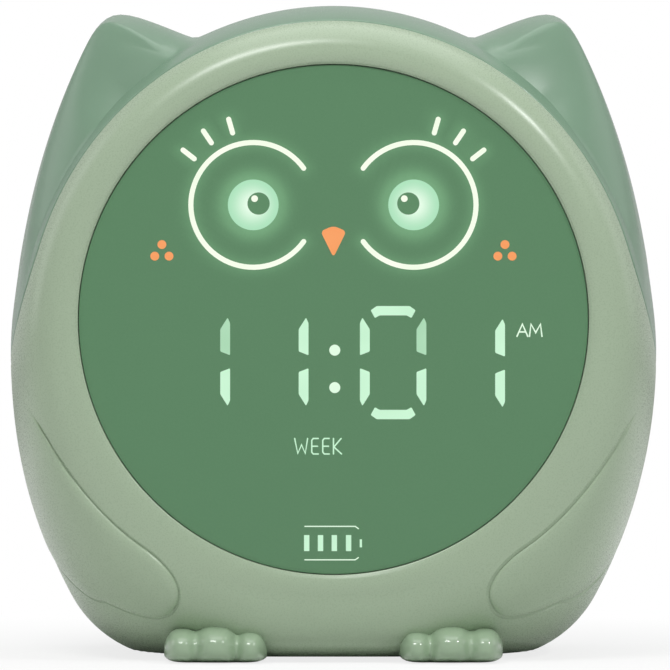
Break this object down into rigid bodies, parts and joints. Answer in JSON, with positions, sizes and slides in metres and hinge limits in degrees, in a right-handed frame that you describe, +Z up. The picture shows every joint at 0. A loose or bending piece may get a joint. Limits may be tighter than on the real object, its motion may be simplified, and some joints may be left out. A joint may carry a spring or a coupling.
{
  "type": "alarm clock with night light",
  "caption": "Owl-shaped bedside alarm clock with a round front lens over a segment display, a two-part shell with ears and wings, toed feet and keys at the back.",
  "frame": {"origin": "bottom centre of the whole object's box: on the table, midway across and midway in depth", "axes": "+Z up; +X to the right seen from the front; the front faces -Y"},
  "size_m": [0.1496, 0.09, 0.15],
  "materials": {
    "front_shell": "moulded ABS, fine matte",
    "rear_shell": "moulded satin, lets the night light glow through",
    "lens": "tinted, smooth",
    "tape": "foam adhesive",
    "white_plastic": "moulded",
    "circuit_board": "solder mask",
    "led": "LED package",
    "screw_steel": "zinc plated",
    "black_plastic": "moulded",
    "keys": "moulded satin",
    "speaker_steel": "pressed steel",
    "cell_sleeve": "shrink sleeve",
    "socket_steel": "drawn steel",
    "feet": "moulded gloss",
    "rubber": "moulded"
  },
  "bodies": {
    "housing": {"front_shell": "front_shell", "rear_shell": "rear_shell", "lens": "lens", "lens_tape": "tape", "diffuser_sheet": "white_plastic", "light_box": "white_plastic", "display_board": "circuit_board", "display_leds": "led", "display_screws": "screw_steel", "main_board": "circuit_board", "board_parts": "black_plastic", "tact_switches": "black_plastic", "speaker_frame": "speaker_steel", "speaker_cone": "black_plastic", "speaker_magnet": "speaker_steel", "speaker_screws": "screw_steel", "battery_holder": "black_plastic", "battery_cell": "cell_sleeve", "socket_board": "circuit_board", "usb_socket": "socket_steel", "switch_body": "black_plastic", "lamp_board": "circuit_board", "lamp_leds": "led", "left_foot": "feet", "right_foot": "feet", "rear_pads": "rubber", "housing_screws": "screw_steel", "board_screws": "screw_steel"},
    "mode_key": {"key_mode": "keys", "plunger_mode": "black_plastic"},
    "alarm_key": {"key_alarm": "keys", "plunger_alarm": "black_plastic"},
    "minus_key": {"key_minus": "keys", "plunger_minus": "black_plastic"},
    "plus_key": {"key_plus": "keys", "plunger_plus": "black_plastic"},
    "lamp_key": {"key_lamp": "keys", "plunger_lamp": "black_plastic"},
    "power_slider": {"switch_knob": "black_plastic"}
  },
  "joints": [
    {"name": "mode_press", "type": "slide", "parent": "housing", "child": "mode_key", "axis": [0, -1, 0], "range_m": [0, 0.0008], "stiffness_N_per_m": 1500},
    {"name": "alarm_press", "type": "slide", "parent": "housing", "child": "alarm_key", "axis": [0, -1, 0], "range_m": [0, 0.0008], "stiffness_N_per_m": 1500},
    {"name": "minus_press", "type": "slide", "parent": "housing", "child": "minus_key", "axis": [0, -1, 0], "range_m": [0, 0.0008], "stiffness_N_per_m": 1500},
    {"name": "plus_press", "type": "slide", "parent": "housing", "child": "plus_key", "axis": [0, -1, 0], "range_m": [0, 0.0008], "stiffness_N_per_m": 1500},
    {"name": "lamp_press", "type": "slide", "parent": "housing", "child": "lamp_key", "axis": [0, -1, 0], "range_m": [0, 0.0008], "stiffness_N_per_m": 1500},
    {"name": "power_slide", "type": "slide", "parent": "housing", "child": "power_slider", "axis": [1, 0, 0], "range_m": [0, 0.0025]}
  ]
}
